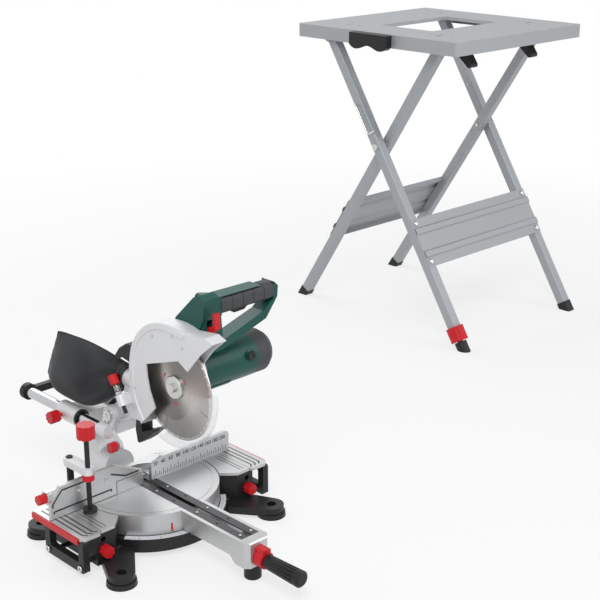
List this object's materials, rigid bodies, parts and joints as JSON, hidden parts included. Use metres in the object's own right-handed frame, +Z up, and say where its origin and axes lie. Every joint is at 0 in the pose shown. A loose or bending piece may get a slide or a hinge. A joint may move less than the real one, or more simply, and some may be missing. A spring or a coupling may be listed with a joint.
{
  "type": "mitre saw with stand",
  "caption": "Sliding compound mitre saw with dust bag, fence, clamp and table extensions, standing beside its folding scissor-leg work stand.",
  "frame": {"origin": "floor level under the middle of the box round saw and stand", "axes": "+X to the operator's right along the fence, +Y away from the operator, +Z up"},
  "size_m": [1.9915, 1.2789, 0.84],
  "materials": {
    "black_cast": "satin black",
    "bright_cast": "machined and brushed",
    "light_cast": "bead blasted",
    "chrome": "polished",
    "zinc": "zinc plated",
    "blade_steel": "ground",
    "red": "moulded",
    "green": "moulded",
    "grey_rubber": "moulded",
    "black_plastic": "moulded",
    "clear": "clear polycarbonate",
    "cloth": "woven",
    "stand_paint": "powder coat"
  },
  "bodies": {
    "base": {"saw_base": "black_cast", "saw_tables": "bright_cast", "mitre_scale": "bright_cast", "fence_casting": "bright_cast", "stand_table": "stand_paint", "table_handle": "black_plastic"},
    "left_fence": {"left_fence": "bright_cast"},
    "fence_knob": {"fence_knob": "red"},
    "left_extension": {"left_extension_frame": "black_cast", "left_extension_plate": "bright_cast", "left_extension_trim": "red"},
    "right_extension": {"right_extension_frame": "black_cast", "right_extension_plate": "bright_cast", "right_extension_trim": "red"},
    "left_extension_knob": {"left_extension_knob": "red"},
    "right_extension_knob": {"right_extension_knob": "red"},
    "clamp": {"clamp_post": "black_cast", "clamp_arm": "light_cast"},
    "clamp_screw": {"clamp_screw": "black_cast"},
    "clamp_knob": {"clamp_knob": "red"},
    "clamp_collar": {"clamp_collar": "red"},
    "turntable": {"turntable": "bright_cast", "bevel_knuckle": "light_cast", "kerf_plates": "black_plastic", "arm_foot": "black_plastic"},
    "mitre_handle": {"mitre_handle": "black_plastic"},
    "detent_lever": {"detent_lever": "red"},
    "bevel_post": {"bevel_post": "light_cast"},
    "bevel_knob": {"bevel_knob": "red"},
    "slide_knob": {"slide_knob": "red"},
    "carriage": {"rails": "chrome", "rail_end_bracket": "black_plastic", "pivot_bracket": "light_cast", "pivot_pin": "zinc"},
    "head_lock_pin": {"head_lock_pin": "red"},
    "head": {"upper_guard": "light_cast", "chip_deflector": "black_plastic", "gear_case": "light_cast", "motor_housing": "green", "motor_end_cap": "grey_rubber", "handle_body": "green", "handle_grip": "grey_rubber", "dust_bag": "cloth"},
    "depth_stop": {"depth_stop": "black_cast"},
    "trigger": {"trigger": "black_plastic"},
    "release_lever": {"release_lever": "red"},
    "lower_guard": {"lower_guard": "clear"},
    "blade": {"blade": "blade_steel", "blade_flange": "zinc"},
    "outer_frame": {"outer_legs": "stand_paint", "front_panel": "stand_paint", "outer_foot_cap": "black_plastic", "outer_frame_bolts": "zinc"},
    "inner_frame": {"inner_legs": "stand_paint", "rear_panel": "stand_paint", "inner_foot_caps": "black_plastic"},
    "foot_collar": {"foot_collar": "red"},
    "foot_stem": {"foot_stem": "black_plastic"},
    "stand_latches": {"stand_latches": "black_plastic"},
    "wire_clips": {"wire_clips": "zinc"}
  },
  "joints": [
    {"name": "mitre", "type": "hinge", "parent": "base", "child": "turntable", "pos_m": [-0.744, -0.19, 0.06], "axis": [0, 0, 1], "range_deg": [-47, 47]},
    {"name": "mitre_lock", "type": "hinge", "parent": "turntable", "child": "mitre_handle", "pos_m": [-0.744, -0.55, 0.05], "axis": [0, 1, 0], "range_deg": [0, 180]},
    {"name": "detent", "type": "hinge", "parent": "turntable", "child": "detent_lever", "pos_m": [-0.744, -0.535, 0.05], "axis": [0, 1, 0], "range_deg": [0, 25], "stiffness_Nm_per_rad": 0.4, "springref_deg": -11.46},
    {"name": "bevel", "type": "hinge", "parent": "turntable", "child": "bevel_post", "pos_m": [-0.744, -0.06, 0.085], "axis": [0, 1, 0], "range_deg": [-30, 2]},
    {"name": "bevel_lock", "type": "hinge", "parent": "bevel_post", "child": "bevel_knob", "pos_m": [-0.744, -0.01, 0.085], "axis": [0, 1, 0], "range_deg": [0, 180]},
    {"name": "slide_lock", "type": "hinge", "parent": "bevel_post", "child": "slide_knob", "pos_m": [-0.819, 0.015, 0.19], "axis": [1, 0, 0], "range_deg": [0, 360]},
    {"name": "slide", "type": "slide", "parent": "bevel_post", "child": "carriage", "axis": [0, -1, 0], "range_m": [-0.058, 0.125]},
    {"name": "head_lock", "type": "slide", "parent": "carriage", "child": "head_lock_pin", "axis": [-1, 0, 0], "range_m": [0, 0.008]},
    {"name": "chop", "type": "hinge", "parent": "carriage", "child": "head", "pos_m": [-0.744, -0.124, 0.226], "axis": [1, 0, 0], "range_deg": [0, 41.8], "stiffness_Nm_per_rad": 6, "springref_deg": -126.05},
    {"name": "lower_guard_swing", "type": "hinge", "parent": "head", "child": "lower_guard", "pos_m": [-0.744, -0.29, 0.325], "axis": [1, 0, 0], "range_deg": [-125.4, 0]},
    {"name": "blade_spin", "type": "hinge", "parent": "head", "child": "blade", "pos_m": [-0.744, -0.29, 0.325], "axis": [1, 0, 0], "continuous": true},
    {"name": "trigger_pull", "type": "hinge", "parent": "head", "child": "trigger", "pos_m": [-0.647, -0.342, 0.483], "axis": [0, -1, 0], "range_deg": [0, 8], "stiffness_Nm_per_rad": 0.5, "springref_deg": -17.19},
    {"name": "head_release", "type": "hinge", "parent": "head", "child": "release_lever", "pos_m": [-0.713, -0.338, 0.446], "axis": [-1, 0, 0], "range_deg": [0, 12], "stiffness_Nm_per_rad": 0.5, "springref_deg": -17.19},
    {"name": "depth_set", "type": "slide", "parent": "head", "child": "depth_stop", "axis": [0, 0.507, 0.862], "range_m": [0, 0.02]},
    {"name": "fence_slide", "type": "slide", "parent": "base", "child": "left_fence", "axis": [-1, 0, 0], "range_m": [0, 0.06]},
    {"name": "fence_lock", "type": "hinge", "parent": "left_fence", "child": "fence_knob", "pos_m": [-0.989, -0.172, 0.127], "axis": [1, 0, 0], "range_deg": [0, 360]},
    {"name": "left_extend", "type": "slide", "parent": "base", "child": "left_extension", "axis": [-1, 0, 0], "range_m": [0, 0.09]},
    {"name": "right_extend", "type": "slide", "parent": "base", "child": "right_extension", "axis": [1, 0, 0], "range_m": [0, 0.09]},
    {"name": "left_extension_lock", "type": "hinge", "parent": "base", "child": "left_extension_knob", "pos_m": [-0.928, -0.295, 0.042], "axis": [0, 1, 0], "range_deg": [0, 360]},
    {"name": "right_extension_lock", "type": "hinge", "parent": "base", "child": "right_extension_knob", "pos_m": [-0.56, -0.295, 0.042], "axis": [0, 1, 0], "range_deg": [0, 360]},
    {"name": "clamp_lift", "type": "slide", "parent": "base", "child": "clamp", "axis": [0, 0, -1], "range_m": [-0.5, 0]},
    {"name": "clamp_feed", "type": "slide", "parent": "clamp", "child": "clamp_screw", "axis": [0, 0, 1], "range_m": [0, 0.06]},
    {"name": "clamp_turn", "type": "hinge", "parent": "clamp_screw", "child": "clamp_knob", "pos_m": [-0.902, -0.209, 0.255], "axis": [0, 0, 1], "range_deg": [0, 5400]},
    {"name": "clamp_lock", "type": "hinge", "parent": "clamp", "child": "clamp_collar", "pos_m": [-0.902, -0.209, 0.16], "axis": [0, 0, 1], "range_deg": [0, 90]},
    {"name": "stand_fold", "type": "hinge", "parent": "base", "child": "outer_frame", "pos_m": [0.716, 0.474, 0.812], "axis": [1, 0, 0], "range_deg": [0, 27]},
    {"name": "scissor", "type": "hinge", "parent": "outer_frame", "child": "inner_frame", "pos_m": [0.716, 0.29, 0.52132], "axis": [1, 0, 0], "range_deg": [-54, 0]},
    {"name": "foot_turn", "type": "hinge", "parent": "outer_frame", "child": "foot_collar", "pos_m": [0.471, -0.00791, 0.0507], "axis": [0, -0.5349, -0.8449], "range_deg": [0, 2160]},
    {"name": "foot_screw", "type": "slide", "parent": "outer_frame", "child": "foot_stem", "axis": [0, -0.5349, -0.8449], "range_m": [0, 0.012]},
    {"name": "latch", "type": "hinge", "parent": "inner_frame", "child": "stand_latches", "pos_m": [0.716, 0.106, 0.812], "axis": [1, 0, 0], "range_deg": [0, 30]},
    {"name": "wire_swing", "type": "hinge", "parent": "outer_frame", "child": "wire_clips", "pos_m": [0.716, 0.35953, 0.63117], "axis": [1, 0, 0], "range_deg": [-35, 0]}
  ],
  "couplings": [
    {"joint": "lower_guard_swing", "follows": "chop", "ratio": -3},
    {"joint": "clamp_turn", "follows": "clamp_feed", "rad_per_m": 1570.8},
    {"joint": "scissor", "follows": "stand_fold", "ratio": -2},
    {"joint": "foot_turn", "follows": "foot_screw", "rad_per_m": 3141.6}
  ]
}
